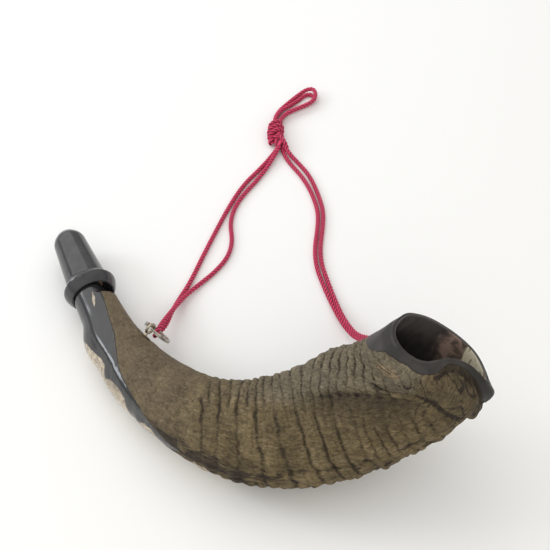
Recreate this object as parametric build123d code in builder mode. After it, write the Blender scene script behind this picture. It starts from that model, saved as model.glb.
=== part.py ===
from build123d import *
import os
from math import cos, pi, radians, sin, sqrt, tan

# A ram's horn shofar lying on its side: the ribbed horn with its turned mouthpiece, two screw eyes
# with split rings, and a doubled carrying cord with a hang loop. Millimetres, +Z up, the surface it
# lies on at z = 0, the origin under the middle of the instrument, the cord left out.

# Horn sections from neck to bell: centre, width across the keel, depth, then the heading of the
# centre line in plan, its rise, and the section's roll about it, in degrees.
OUTER = [
    ((-103.5, 44.0, 17.5), 26, 25, -65.4, 0, 0),
    ((-93.5, 23.5, 17.0), 29, 28, -66, 0, 0),
    ((-81.0, 0.0, 17.2), 35, 33, -60, 0, 0),
    ((-64.0, -23.5, 18.6), 42, 37, -48, 0, 0),
    ((-43.0, -43.0, 20.6), 49, 41, -36, 2, 0),
    ((-16.0, -58.5, 23.6), 60, 47, -20, 4, 0),
    ((10.0, -64.5, 26.8), 69, 51, -4, 9, -3),
    ((34.0, -63.5, 31.0), 73, 54, 7, 18, -8),
    ((57.0, -59.0, 39.0), 75, 56, 14, 31, -16),
    ((77.0, -54.0, 51.0), 76, 57, 20, 45, -26),
    ((93.0, -52.0, 64.5), 75, 55, 25, 56, -35),
    ((102.0, -52.0, 78.5), 71, 51, 28, 64, -41),
    ((105.0, -48.0, 89.0), 60, 38, 28, 66, -34),
]
# Width and depth of the hollow at each of those sections: a narrow air way through the solid tip,
# then the natural hollow of the horn.
HOLLOW = [
    (7, 7), (7, 7), (8, 8), (13, 11), (26, 20), (42, 31), (55, 39), (62, 44), (65, 47), (66, 47), (65, 45),
    (60, 40), (54, 32),
]
MOUTH_RUN_OUT = 6.0       # the hollow goes on this far beyond the lip
LIP_ROUND = 1.4

# End of the horn inside the mouthpiece: an oval neck, then a round spigot
TENON_W, TENON_H, TENON_LEN = 20.0, 23.0, 7.5
TENON_SHIFT = 2.5         # the neck sits towards the keel side of the recess
SPIGOT_R, SPIGOT_LEN = 7.5, 12.0

# Mouthpiece, measured along its axis from the ridge towards the lips
RIDGE_R = 17.5            # widest ridge, which rests on the surface
COLLAR_R, COLLAR_LEN = 14.4, 6.7
RECESS_R, RECESS_FLOOR = 13.4, 1.2
SOCKET_R, SOCKET_FLOOR = 8.6, 13.6
WAIST_R, WAIST_AT = 13.4, 8.0
TIP_R, TIP_AT = 11.0, 42.0
CUP_R, RIM_R = 6.3, 7.6   # blow hole at the rim, and the crest of the rim
THROAT_R, THROAT_END = 2.25, 38.0
MOUTHPIECE_AT = (-106.5, 50.5, RIDGE_R)
MOUTHPIECE_HEADING = 114.6

# Screw eyes and split rings
EYE_WIRE_R, EYE_R = 0.9, 3.1
EYE_STAND = 6.2           # centre of the loop above the plate's seat
SHANK_R = 1.1
PLATE_R, PLATE_T = 4.5, 0.8
RING_R = 9.2              # centre line of the split ring
RING_RADIAL, RING_TURN = 1.5, 1.1
# Seat of each screw eye on the horn, its direction out of the horn, the lean of its ring, and the
# length of its shank below the plate: the right one is in the thin wall beside the bell
SIDES = {
    "left": ((-66.86, 5.51, 26.04), (0.66, 0.59, 0.46), 30, 8.0),
    "right": ((79.8, -21.77, 52.55), (0.20, 0.97, -0.15), 16, 3.6),
}

# Cord: 3 mm, doubled. Each half runs from the knot, round the foot of a split ring and back.
CORD_R = 1.5
LEFT_ROUTE = [
    (18.5, 202.0, 4.7), (14.4, 190.0, 3.2), (3.0, 169.1, 1.5), (-7.0, 154.4, 1.5), (-14.3, 139.7, 1.5),
    (-17.1, 123.4, 1.5), (-14.7, 107.1, 1.5), (-17.6, 91.8, 1.5), (-26.8, 77.7, 1.5), (-37.3, 66.4, 1.8),
    (-45.9, 53.7, 4.6), (-51.2, 39.7, 9.6), (-54.7, 25.5, 14.5), (-59.1, 15.6, 17.6), (-62.3, 15.4, 12.2),
    (-57.9, 25.2, 9.1), (-54.6, 41.3, 5.2), (-50.7, 53.9, 2.2), (-44.5, 68.8, 1.5), (-37.7, 89.9, 1.5),
    (-29.3, 113.9, 1.5), (-19.0, 140.5, 1.5), (-8.3, 162.5, 1.5), (3.7, 179.0, 1.5), (12.2, 192.3, 1.5),
    (17.2, 202.0, 1.7),
]
RIGHT_ROUTE = [
    (21.9, 202.0, 4.7), (25.5, 194.5, 3.2), (31.5, 187.3, 1.5), (40.3, 173.4, 1.5), (46.1, 155.3, 1.5),
    (50.0, 137.1, 1.5), (49.1, 120.0, 1.5), (46.7, 102.6, 1.5), (46.9, 86.7, 1.5), (50.8, 70.4, 1.5),
    (55.2, 53.4, 2.2), (61.6, 34.4, 6.0), (68.3, 18.5, 12.5), (74.6, 8.6, 24.2), (78.0, -1.8, 32.9),
    (79.9, -11.2, 38.8), (77.6, -14.6, 34.1), (75.7, -5.3, 28.2), (71.6, 7.2, 18.6), (65.4, 18.6, 8.0),
    (58.7, 33.8, 3.6), (52.8, 51.4, 1.6), (47.6, 67.8, 1.5), (43.4, 83.5, 1.5), (42.8, 100.6, 1.5),
    (45.2, 117.6, 1.5), (46.3, 135.1, 1.5), (42.4, 153.2, 1.5), (35.8, 170.3, 1.5), (27.0, 184.0, 1.5),
    (22.3, 193.3, 1.5), (20.4, 202.0, 1.7),
]
# Hang loop above the knot: the outer bight crosses over the inner one at its far end
OUTER_LOOP = [
    (14.5, 222.5, 1.8), (14.5, 234.2, 1.5), (17.7, 243.5, 1.5), (24.7, 252.6, 1.5), (32.9, 262.3, 1.5),
    (39.9, 268.0, 3.0), (45.5, 267.6, 4.6), (47.7, 261.2, 4.7), (46.0, 253.7, 4.6), (39.7, 247.5, 4.6),
    (31.4, 242.8, 4.6), (24.0, 237.7, 4.7), (19.3, 231.2, 4.8), (18.2, 222.5, 4.8),
]
INNER_LOOP = [
    (14.9, 222.5, 4.9), (15.2, 233.0, 4.6), (19.4, 241.5, 4.2), (26.7, 249.3, 2.2), (34.4, 257.6, 1.5),
    (39.8, 264.0, 1.5), (45.4, 263.2, 1.5), (46.9, 257.0, 1.5), (38.0, 250.4, 1.5), (28.0, 244.6, 1.5),
    (21.3, 238.9, 1.5), (18.0, 229.6, 1.6), (18.0, 222.5, 1.7),
]
# Sections of the knot from the hang loop down to the neck where the four strands leave: centre,
# width, height; and its blunt tail
KNOT = [
    ((16.3, 226.5, 3.2), 6.6, 5.8), ((16.3, 222.5, 4.2), 9.6, 8.0), ((16.4, 215.5, 4.5), 11.0, 8.8),
    ((17.4, 209.0, 4.2), 9.4, 8.0), ((18.7, 204.0, 3.4), 7.2, 6.4), ((19.5, 198.5, 3.2), 7.0, 6.2),
]
TAIL_FROM, TAIL_TO, TAIL_R = (14.6, 216.0, 4.2), (11.2, 206.0, 2.9), 2.5


def section_plane(centre, heading, rise, roll):
    """Plane across the horn: x towards the keel, z along the centre line towards the bell."""
    a, b = radians(heading), radians(rise)
    along = Vector(cos(a) * cos(b), sin(a) * cos(b), sin(b))
    keel = Vector(sin(a), -cos(a), 0).rotate(Axis((0, 0, 0), along), -roll)
    return Plane(origin=centre, x_dir=keel, z_dir=along)


horn_planes = [section_plane(centre, *angles) for centre, _, _, *angles in OUTER]

# The mouthpiece's axis, level, towards the lips
lips = Vector(cos(radians(MOUTHPIECE_HEADING)), sin(radians(MOUTHPIECE_HEADING)), 0)
mouthpiece_plane = Plane(origin=MOUTHPIECE_AT, x_dir=lips, z_dir=(0, 0, 1))
collar_plane = Plane(origin=Vector(*MOUTHPIECE_AT) - lips * COLLAR_LEN, x_dir=horn_planes[0].x_dir, z_dir=lips)


def eye_planes(seat, out, lean, _):
    """Seat plane with z out of the horn; the eye's plane and the ring's, whose normals cross."""
    out = Vector(*out).normalized()
    swing = out.cross(Vector(0, 0, 1)).normalized()
    level = Vector(0, 0, 1).cross(swing)
    a = radians(lean)
    down = level * sin(a) - Vector(0, 0, 1) * cos(a)
    eye_at = Vector(*seat) + out * EYE_STAND
    seat_plane = Plane(origin=seat, x_dir=swing, z_dir=out)
    eye_plane = Plane(origin=eye_at, x_dir=out, z_dir=swing)
    ring_plane = Plane(origin=eye_at + down * RING_R, x_dir=swing, z_dir=swing.cross(down))
    return seat_plane, eye_plane, ring_plane


planes = {side: eye_planes(*place) for side, place in SIDES.items()}


def corner_radii(route):
    """Arc at each inner point of a cord's route: 0.45 of its shorter run over tan of half its turn."""
    runs = [Vector(*b) - Vector(*a) for a, b in zip(route, route[1:])]
    return [
        0.45 * min(before.length, after.length) / tan(radians(before.get_angle(after)) / 2)
        for before, after in zip(runs, runs[1:])
    ]


# Horn
with BuildPart() as horn:
    for plane, (_, width, depth, *_) in zip(horn_planes, OUTER):
        with BuildSketch(plane):
            Ellipse(width / 2, depth / 2)
    loft()
    with BuildSketch(collar_plane.offset(-0.5)):
        with Locations((TENON_SHIFT, 0)):
            Ellipse(TENON_W / 2, TENON_H / 2)
    extrude(amount=TENON_LEN + 0.5)
    with BuildSketch(collar_plane.offset(TENON_LEN)):
        Circle(SPIGOT_R)
    extrude(amount=SPIGOT_LEN)
    for plane, (width, depth) in zip(horn_planes, HOLLOW):
        with BuildSketch(plane):
            Ellipse(width / 2, depth / 2)
    with BuildSketch(horn_planes[-1].offset(MOUTH_RUN_OUT)):
        Ellipse(HOLLOW[-1][0] / 2, HOLLOW[-1][1] / 2)
    loft(mode=Mode.SUBTRACT)
    with BuildSketch(collar_plane.offset(-1)):
        Circle(HOLLOW[0][0] / 2)
    extrude(amount=TENON_LEN + SPIGOT_LEN + 2, mode=Mode.SUBTRACT)
    for side, (seat_plane, _, _) in planes.items():
        with BuildSketch(seat_plane):
            Circle(PLATE_R + 0.05)
        extrude(amount=6, mode=Mode.SUBTRACT)
        with BuildSketch(seat_plane):
            Circle(SHANK_R)
        extrude(amount=-SIDES[side][3], mode=Mode.SUBTRACT)
    lip_edges = horn.faces().sort_by(Axis.Z)[-1].edges()
    fillet(lip_edges, LIP_ROUND)
horn.part.label = "horn"

# Mouthpiece: domed body, concave flare to the ridge, collar over the horn's neck
dome_at = TIP_AT + sqrt(TIP_R**2 - RIM_R**2)
rim_top = dome_at + (RIM_R - CUP_R) / 2
with BuildPart() as mouthpiece:
    with BuildSketch(mouthpiece_plane):
        with BuildLine():
            Line((-COLLAR_LEN, RECESS_R), (-COLLAR_LEN, COLLAR_R))
            ThreePointArc((-COLLAR_LEN, COLLAR_R), (-2.6, 16.7), (0, RIDGE_R))
            Line((0, RIDGE_R), (0.8, RIDGE_R))
            ThreePointArc((0.8, RIDGE_R), (3.2, 14.9), (WAIST_AT, WAIST_R))
            Line((WAIST_AT, WAIST_R), (TIP_AT, TIP_R))
            ThreePointArc((TIP_AT, TIP_R), (TIP_AT + TIP_R * sin(pi / 8), TIP_R * cos(pi / 8)), (dome_at, RIM_R))
            ThreePointArc((dome_at, RIM_R), (rim_top, (RIM_R + CUP_R) / 2), (dome_at, CUP_R))
            ThreePointArc((dome_at, CUP_R), (44.6, 5.2), (THROAT_END, THROAT_R))
            Line((THROAT_END, THROAT_R), (SOCKET_FLOOR + 6.4, THROAT_R))
            Line((SOCKET_FLOOR + 6.4, THROAT_R), (SOCKET_FLOOR + 6.4, SOCKET_R))
            Line((SOCKET_FLOOR + 6.4, SOCKET_R), (RECESS_FLOOR, SOCKET_R))
            Line((RECESS_FLOOR, SOCKET_R), (RECESS_FLOOR, RECESS_R))
            Line((RECESS_FLOOR, RECESS_R), (-COLLAR_LEN, RECESS_R))
        make_face()
    revolve(axis=Axis(MOUTHPIECE_AT, lips))
mouthpiece.part.label = "mouthpiece"

# Cork sleeve that seals the spigot in the mouthpiece's socket
with BuildPart() as neck_cork:
    with BuildSketch(collar_plane.offset(TENON_LEN + 0.4)):
        Circle(SOCKET_R)
        Circle(SPIGOT_R, mode=Mode.SUBTRACT)
    extrude(amount=SPIGOT_LEN - 1.0)
neck_cork.part.label = "neck_cork"

# Screw eyes, plates and split rings
hardware = []
for side, (seat_plane, eye_plane, ring_plane) in planes.items():
    shank = SIDES[side][3]
    with BuildPart() as eye:
        with Locations(eye_plane):
            Torus(EYE_R, EYE_WIRE_R)
        with BuildSketch(seat_plane.offset(EYE_STAND - EYE_R)):
            Circle(SHANK_R)
        extrude(amount=-(EYE_STAND - EYE_R) - shank + 2)
        with BuildSketch(seat_plane.offset(2 - shank)):
            Circle(SHANK_R)
        extrude(amount=-2, taper=24)
    eye.part.label = f"{side}_screw_eye"

    with BuildPart() as plate:
        with BuildSketch(seat_plane):
            Circle(PLATE_R)
            Circle(SHANK_R, mode=Mode.SUBTRACT)
        extrude(amount=PLATE_T)
        fillet(plate.edges().filter_by(GeomType.CIRCLE).sort_by(SortBy.RADIUS)[-1], 0.25)
    plate.part.label = f"{side}_eye_plate"

    with BuildPart() as ring:
        with BuildSketch(Plane(origin=ring_plane.origin, x_dir=ring_plane.x_dir, z_dir=-ring_plane.y_dir)):
            with Locations((RING_R, RING_TURN / 2 - 0.05), (RING_R, 0.05 - RING_TURN / 2)):
                RectangleRounded(RING_RADIAL, RING_TURN, 0.4)
        revolve(axis=Axis(ring_plane.origin, ring_plane.z_dir))
    ring.part.label = f"{side}_split_ring"
    hardware += [eye, plate, ring]

# Cord
cords = []
for name, route in (
    ("cord_left", LEFT_ROUTE),
    ("cord_right", RIGHT_ROUTE),
    ("hang_loop_outer", OUTER_LOOP),
    ("hang_loop_inner", INNER_LOOP),
):
    radii = corner_radii(route)
    with BuildPart() as cord:
        with BuildLine() as path:
            FilletPolyline(*route, radius=radii)
        centre_line = path.wires()[0]
        with BuildSketch(Plane(origin=centre_line @ 0, z_dir=centre_line % 0)):
            Circle(CORD_R)
        sweep(path=centre_line)
    cord.part.label = name
    cords.append(cord)
    ratio = cord.part.volume / (pi * CORD_R**2 * centre_line.length)
    print(name, "length", round(centre_line.length, 1), "volume over section x length", round(ratio, 4))
    print("  radii", [round(radius, 1) for radius in radii])

# Knot, with its blunt tail
with BuildPart() as cord_knot:
    for centre, width, height in KNOT:
        with BuildSketch(Plane(origin=centre, x_dir=(1, 0, 0), z_dir=(0, -1, 0))):
            Ellipse(width / 2, height / 2)
    loft()
    tail = Vector(*TAIL_TO) - Vector(*TAIL_FROM)
    with BuildSketch(Plane(origin=TAIL_FROM, z_dir=tail)):
        Circle(TAIL_R)
    extrude(amount=tail.length)
cord_knot.part.label = "cord_knot"
cords.append(cord_knot)

os.makedirs("parts", exist_ok=True)
for piece in [horn, mouthpiece, neck_cork, *hardware, *cords]:
    export_step(piece.part, f"parts/{piece.part.label}.step")
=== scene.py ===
import math
from types import SimpleNamespace

import bpy
import numpy as np
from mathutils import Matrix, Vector


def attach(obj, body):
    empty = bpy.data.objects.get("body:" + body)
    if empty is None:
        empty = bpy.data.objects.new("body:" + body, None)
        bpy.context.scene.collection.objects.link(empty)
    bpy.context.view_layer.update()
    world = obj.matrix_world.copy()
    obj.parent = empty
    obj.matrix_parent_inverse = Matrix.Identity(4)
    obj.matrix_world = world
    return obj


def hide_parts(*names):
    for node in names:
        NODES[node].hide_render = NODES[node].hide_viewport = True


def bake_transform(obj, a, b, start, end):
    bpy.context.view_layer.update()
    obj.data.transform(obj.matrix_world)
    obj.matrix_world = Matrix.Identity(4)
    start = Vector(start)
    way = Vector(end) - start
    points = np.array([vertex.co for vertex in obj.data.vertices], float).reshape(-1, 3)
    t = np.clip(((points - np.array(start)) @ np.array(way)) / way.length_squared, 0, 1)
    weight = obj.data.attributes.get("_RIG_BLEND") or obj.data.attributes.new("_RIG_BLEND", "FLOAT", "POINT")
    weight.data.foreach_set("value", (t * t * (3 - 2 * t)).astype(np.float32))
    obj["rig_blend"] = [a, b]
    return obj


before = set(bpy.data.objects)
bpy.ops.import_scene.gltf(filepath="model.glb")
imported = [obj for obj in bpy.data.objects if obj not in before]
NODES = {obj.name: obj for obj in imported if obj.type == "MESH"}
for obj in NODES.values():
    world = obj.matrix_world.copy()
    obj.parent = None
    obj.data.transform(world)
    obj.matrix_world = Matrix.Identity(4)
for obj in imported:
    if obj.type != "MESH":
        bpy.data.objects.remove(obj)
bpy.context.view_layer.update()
scene = bpy.context.scene
MM = 0.001

# Horn sections from neck to bell, in millimetres: centre, width across the keel, depth, heading,
# rise and roll in degrees, then the width and depth of the hollow there
SECTIONS = [
    ((-103.5, 44.0, 17.5), 26, 25, -65.4, 0, 0, 7, 7),
    ((-93.5, 23.5, 17.0), 29, 28, -66, 0, 0, 7, 7),
    ((-81.0, 0.0, 17.2), 35, 33, -60, 0, 0, 8, 8),
    ((-64.0, -23.5, 18.6), 42, 37, -48, 0, 0, 13, 11),
    ((-43.0, -43.0, 20.6), 49, 41, -36, 2, 0, 26, 20),
    ((-16.0, -58.5, 23.6), 60, 47, -20, 4, 0, 42, 31),
    ((10.0, -64.5, 26.8), 69, 51, -4, 9, -3, 55, 39),
    ((34.0, -63.5, 31.0), 73, 54, 7, 18, -8, 62, 44),
    ((57.0, -59.0, 39.0), 75, 56, 14, 31, -16, 65, 47),
    ((77.0, -54.0, 51.0), 76, 57, 20, 45, -26, 66, 47),
    ((93.0, -52.0, 64.5), 75, 55, 25, 56, -35, 65, 45),
    ((102.0, -52.0, 78.5), 71, 51, 28, 64, -41, 60, 40),
    ((105.0, -48.0, 89.0), 60, 38, 28, 66, -34, 54, 32),
]
COLLAR = np.array((-103.71, 44.41, 17.5))
LIPS = np.array((math.cos(math.radians(114.6)), math.sin(math.radians(114.6)), 0))
TENON = (10.0, 11.5, 2.5, 7.5)      # half width, half height, offset to the keel side, length
SPIGOT = (7.5, 19.5)                # radius, end beyond the collar
SEATS = {
    "left": ((-66.86, 5.51, 26.04), (0.66, 0.59, 0.46)),
    "right": ((79.8, -21.77, 52.55), (0.20, 0.97, -0.15)),
}
PLATE_R = 4.7

# Routes of the four cords, as in the CAD source, but for points of the long two moved by up to 3 mm
LEFT_ROUTE = [
    (18.5, 202.0, 4.7), (14.4, 190.0, 3.2), (3.0, 169.1, 1.5), (-7.0, 154.4, 1.5), (-14.3, 139.7, 1.5),
    (-17.1, 123.4, 1.5), (-14.7, 107.1, 1.5), (-17.6, 91.8, 1.5), (-26.8, 77.7, 1.5), (-37.3, 66.4, 1.8),
    (-46.4, 53.7, 4.6), (-52.2, 39.7, 9.0), (-56.8, 26.5, 14.5), (-59.7, 17.0, 17.3), (-61.6, 13.8, 15.4),
    (-61.8, 16.5, 11.9), (-55.8, 25.2, 9.8), (-52.9, 41.3, 6.0), (-49.2, 53.9, 2.4), (-42.8, 68.8, 1.5),
    (-36.0, 89.9, 1.5), (-27.8, 113.9, 1.5), (-18.2, 140.5, 1.5), (-8.3, 162.5, 1.5), (3.7, 179.0, 1.5),
    (12.2, 192.3, 1.5), (17.2, 202.0, 1.7),
]
RIGHT_ROUTE = [
    (21.9, 202.0, 4.7), (25.5, 194.5, 3.2), (31.5, 187.3, 1.5), (40.3, 173.4, 1.5), (46.1, 155.3, 1.5),
    (50.0, 137.1, 1.5), (49.1, 120.0, 1.5), (46.7, 102.6, 1.5), (46.9, 86.7, 1.5), (50.8, 70.4, 1.5),
    (55.2, 53.4, 2.2), (60.4, 34.4, 5.4), (66.9, 17.6, 11.2), (73.6, 6.8, 22.0), (78.0, -1.8, 32.9),
    (79.6, -10.0, 38.0), (79.1, -14.6, 37.5), (77.8, -13.3, 33.3), (75.7, -5.3, 28.2), (71.6, 7.2, 18.6),
    (65.4, 18.6, 8.0), (58.7, 33.8, 3.6), (52.8, 51.4, 1.6), (47.6, 67.8, 1.5), (43.4, 83.5, 1.5),
    (42.8, 100.6, 1.5), (45.2, 117.6, 1.5), (46.3, 135.1, 1.5), (42.4, 153.2, 1.5), (35.8, 170.3, 1.5),
    (27.0, 184.0, 1.5), (22.3, 193.3, 1.5), (20.4, 202.0, 1.7),
]
OUTER_LOOP = [
    (14.5, 222.5, 1.8), (14.5, 234.2, 1.5), (17.7, 243.5, 1.5), (24.7, 252.6, 1.5), (32.9, 262.3, 1.5),
    (39.9, 268.0, 3.0), (45.5, 267.6, 4.6), (47.7, 261.2, 4.7), (46.0, 253.7, 4.6), (39.7, 247.5, 4.6),
    (31.4, 242.8, 4.6), (24.0, 237.7, 4.7), (19.3, 231.2, 4.8), (18.2, 222.5, 4.8),
]
INNER_LOOP = [
    (14.9, 222.5, 4.9), (15.2, 233.0, 4.6), (19.4, 241.5, 4.2), (26.7, 249.3, 2.2), (34.4, 257.6, 1.5),
    (39.8, 264.0, 1.5), (45.4, 263.2, 1.5), (46.9, 257.0, 1.5), (38.0, 250.4, 1.5), (28.0, 244.6, 1.5),
    (21.3, 238.9, 1.5), (18.0, 229.6, 1.6), (18.0, 222.5, 1.7),
]
CORD_R = 1.5                # mm


# Small tools

TABLE = np.random.default_rng(7).uniform(-1, 1, 4096)


def value_noise(p, seed=0):
    """Smooth noise from -1 to 1 at each point of an array whose last axis is x, y, z."""
    base = np.floor(p).astype(np.int64)
    f = p - base
    f = f * f * (3 - 2 * f)
    total = 0
    for corner in np.ndindex(2, 2, 2):
        i, j, k = (base[..., a] + corner[a] for a in range(3))
        index = (i * 73856093) ^ (j * 19349663) ^ (k * 83492791) ^ (seed * 2654435761)
        weight = 1
        for a in range(3):
            weight = weight * (f[..., a] if corner[a] else 1 - f[..., a])
        total = total + weight * TABLE[index & 4095]
    return total


def smooth(a, b, x):
    """0 before a, 1 after b, an easy step between them."""
    t = np.clip((x - a) / (b - a), 0, 1)
    return t * t * (3 - 2 * t)


def hump(x, width):
    """1 at 0, falling away to both sides."""
    return np.exp(-((x / width) ** 2))


def wrap(degrees):
    """Angles brought to the range -180 to 180."""
    return (degrees + 180) % 360 - 180


def plateau(x, a, b, c, d):
    """1 from b to c and 0 outside a to d, with easy steps between."""
    return smooth(a, b, x) * (1 - smooth(c, d, x))


def stops(pairs, s):
    """A value that changes along the horn, through (distance, value) stops."""
    return np.interp(s, *zip(*pairs))


def ring_curve(pairs, theta):
    """A value that goes round the horn, through (angle, value) stops."""
    angles, values = zip(*sorted((angle % 360, value) for angle, value in pairs))
    return np.interp(theta % 360, [*angles, angles[0] + 360], [*values, values[0]])


def natural_spline(x, y):
    """The natural cubic spline through y at x, as a function."""
    n, h = len(x), np.diff(x)
    system, right = np.eye(n), np.zeros_like(y)
    for i in range(1, n - 1):
        system[i, i - 1:i + 2] = h[i - 1], 2 * (h[i - 1] + h[i]), h[i]
        right[i] = 6 * ((y[i + 1] - y[i]) / h[i] - (y[i] - y[i - 1]) / h[i - 1])
    m = np.linalg.solve(system, right)

    def at(t):
        k = np.clip(np.searchsorted(x, t, side="right") - 1, 0, n - 2)
        d, run = (t - x[k])[:, None], h[k][:, None]
        slope = (y[k + 1] - y[k]) / run - run * (2 * m[k] + m[k + 1]) / 6
        return y[k] + d * slope + d**2 * m[k] / 2 + d**3 * (m[k + 1] - m[k]) / (6 * run)

    return at


def unit(v):
    return v / np.linalg.norm(v, axis=-1, keepdims=True)


def grid_faces(rows, columns, first=0, closed=False):
    """Quads of a grid that closes round its columns, and round its rows too if closed."""
    r, c = np.meshgrid(np.arange(rows if closed else rows - 1), np.arange(columns), indexing="ij")
    below, beside = (r + 1) % rows, (c + 1) % columns
    quads = [r * columns + c, below * columns + c, below * columns + beside, r * columns + beside]
    return np.stack(quads, -1).reshape(-1, 4) + first


def piece(name, points, faces, *materials):
    """A smooth mesh object from points in metres."""
    mesh = bpy.data.meshes.new(name)
    mesh.from_pydata(np.asarray(points).tolist(), [], [list(map(int, face)) for face in faces])
    mesh.polygons.foreach_set("use_smooth", [True] * len(mesh.polygons))
    for material in materials:
        mesh.materials.append(material)
    obj = bpy.data.objects.new(name, mesh)
    scene.collection.objects.link(obj)
    return obj


# Materials

class Graph:
    """A material's nodes, with short ways to add and join them."""

    def __init__(self, name, **surface):
        self.material = bpy.data.materials.new(name)
        self.material.use_nodes = True
        self.nodes = self.material.node_tree.nodes
        self.links = self.material.node_tree.links
        self.shader = self.nodes["Principled BSDF"]
        self.surface(**surface)

    def put(self, socket, value):
        if isinstance(value, bpy.types.NodeSocket):
            self.links.new(value, socket)
        elif isinstance(value, tuple) and len(value) == 3 and socket.type == "RGBA":
            socket.default_value = (*value, 1)
        else:
            socket.default_value = value

    def add(self, kind, output=0, settings=None, **inputs):
        node = self.nodes.new("ShaderNode" + kind)
        for key, value in (settings or {}).items():
            setattr(node, key, value)
        for key, value in inputs.items():
            self.put(node.inputs[int(key[1:]) if key[0] == "i" and key[1:].isdigit() else key], value)
        return node.outputs[output]

    def attribute(self, name, output="Vector"):
        return self.add("Attribute", output, {"attribute_name": name})

    def split(self, colour):
        node = self.nodes.new("ShaderNodeSeparateColor")
        self.put(node.inputs[0], colour)
        return tuple(node.outputs)

    def millimetres(self):
        """The place on the object in millimetres."""
        return self.stretch(self.add("TexCoord", "Object"), (1000.0, 1000.0, 1000.0))

    def stretch(self, vector, scale):
        return self.add("VectorMath", 0, {"operation": "MULTIPLY"}, i0=vector, i1=scale)

    def noise(self, vector, scale=1.0, detail=4.0, rough=0.55, distortion=0.0):
        return self.add("TexNoise", "Fac", None, Vector=vector, Scale=scale, Detail=detail,
                        Roughness=rough, Distortion=distortion)

    def step(self, value, low, high, start=0.0, end=1.0):
        """Eases from start to end as the value goes from low to high."""
        return self.add("MapRange", 0, {"interpolation_type": "SMOOTHSTEP"}, i0=value, i1=low, i2=high,
                        i3=start, i4=end)

    def maths(self, operation, a, b=0.0):
        return self.add("Math", 0, {"operation": operation}, i0=a, i1=b)

    def mix(self, factor, a, b, blend="MIX"):
        node = self.nodes.new("ShaderNodeMix")
        node.data_type, node.blend_type = "RGBA", blend
        for socket, value in zip((node.inputs[0], node.inputs[6], node.inputs[7]), (factor, a, b)):
            self.put(socket, value)
        return node.outputs[2]

    def bump(self, *layers):
        """Bump from (height, distance in metres, strength) layers, one over another."""
        normal = None
        for height, distance, strength in layers:
            inputs = {"Height": height, "Distance": distance, "Strength": strength}
            if normal is not None:
                inputs["Normal"] = normal
            normal = self.add("Bump", 0, None, **inputs)
        self.put(self.shader.inputs["Normal"], normal)

    def surface(self, **inputs):
        for socket, value in inputs.items():
            self.put(self.shader.inputs[socket.replace("_", " ")], value)
        return self.material


def horn_textures(g):
    """Noises of the horn's grain: rings across it, ticks and flecks along it, broad patches and fine pits."""
    grain = g.attribute("grain")
    flecks = g.noise(g.stretch(grain, (0.28, 0.62, 0.62)), 1.0, 5, 0.68, 0.6)
    speckle = g.step(flecks, 0.34, 0.66, 0.45, 1.55)
    return SimpleNamespace(
        distance=g.add("SeparateXYZ", 0, None, i0=grain),
        rings=g.noise(g.stretch(grain, (0.62, 0.07, 0.07)), 1.0, 6, 0.72),
        ticks=g.noise(g.stretch(grain, (0.30, 1.15, 1.15)), 1.0, 3, 0.6),
        patches=g.noise(g.stretch(grain, (0.07, 0.05, 0.05)), 1.0, 5, 0.6, 0.4),
        pits=g.noise(grain, 0.5, 6, 0.75),
        flecks=flecks,
        shade=g.add("CombineColor", 0, None, i0=speckle, i1=speckle, i2=speckle),
    )


def raw_horn(g, t):
    """Colour of the natural horn: olive and tawny ribs, sooty grime and scraped marks; painted sheen greys
    the upward crown, painted highlights light the rib crests, and painted shade darkens the grooves, furrow,
    creases and undercuts.
    """
    tan, valley, crown = g.split(g.attribute("zone_b", "Color"))
    gap, crest, soot_and_shade = g.split(g.attribute("zone_c", "Color"))
    half_ticks = g.maths("MULTIPLY", t.ticks, 0.5)

    colour = g.mix(g.step(t.patches, 0.34, 0.66), (0.100, 0.074, 0.036), (0.182, 0.136, 0.068))
    colour = g.mix(g.step(t.distance, 160.0, 80.0, 0.0, 0.55), colour, (0.150, 0.116, 0.082))
    # Painted sheen: the upward crown made lighter and greyer.
    colour = g.mix(g.maths("MULTIPLY", crown, 0.7), colour, (0.170, 0.148, 0.108))
    colour = g.mix(g.step(t.rings, 0.34, 0.52, 0.45, 0.0), colour, (0.060, 0.044, 0.024))
    colour = g.mix(g.step(t.ticks, 0.54, 0.68, 0.0, 0.40), colour, (0.30, 0.235, 0.150))
    colour = g.mix(g.step(t.pits, 0.32, 0.46, 0.70, 0.0), colour, (0.040, 0.029, 0.016))
    # Painted highlight on the rib crests, broken by the ticks.
    crest_highlight = g.step(g.maths("ADD", crest, half_ticks), 0.55, 0.85, 0.0, 0.45)
    colour = g.mix(crest_highlight, colour, (0.30, 0.240, 0.150))
    # Painted shade in the furrow and on the last band.
    colour = g.mix(g.maths("MULTIPLY", valley, 0.75), colour, (0.060, 0.045, 0.028))
    tan_patch = g.step(g.maths("ADD", tan, half_ticks), 0.50, 0.85, 0.0, 0.75)
    colour = g.mix(tan_patch, colour, (0.25, 0.185, 0.105))
    colour = g.mix(g.step(t.distance, 60.0, 150.0, 0.3, 0.6), colour, t.shade, "MULTIPLY")

    # Painted shade along the grooves: a broad darkening, then a dark line broken by the ticks.
    colour = g.mix(g.step(gap, 0.05, 0.6, 0.0, 0.36), colour, (0.055, 0.040, 0.022))
    dark = g.maths("ADD", g.maths("MULTIPLY", gap, 0.66), t.ticks)
    colour = g.mix(g.step(dark, 0.76, 1.06, 0.0, 0.9), colour, (0.032, 0.023, 0.013))
    # The dark mask: sooty grime, scar and scraped marks, and painted shade in creases, undercuts and grooves.
    grime_and_shade_mask = g.maths("ADD", soot_and_shade, g.maths("MULTIPLY", g.maths("SUBTRACT", t.ticks, 0.5), 1.2))
    grime_and_shade = g.mix(g.step(t.flecks, 0.42, 0.62), (0.018, 0.013, 0.010), (0.048, 0.037, 0.027))
    return g.mix(g.step(grime_and_shade_mask, 0.22, 0.62, 0.0, 0.9), colour, grime_and_shade)


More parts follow.
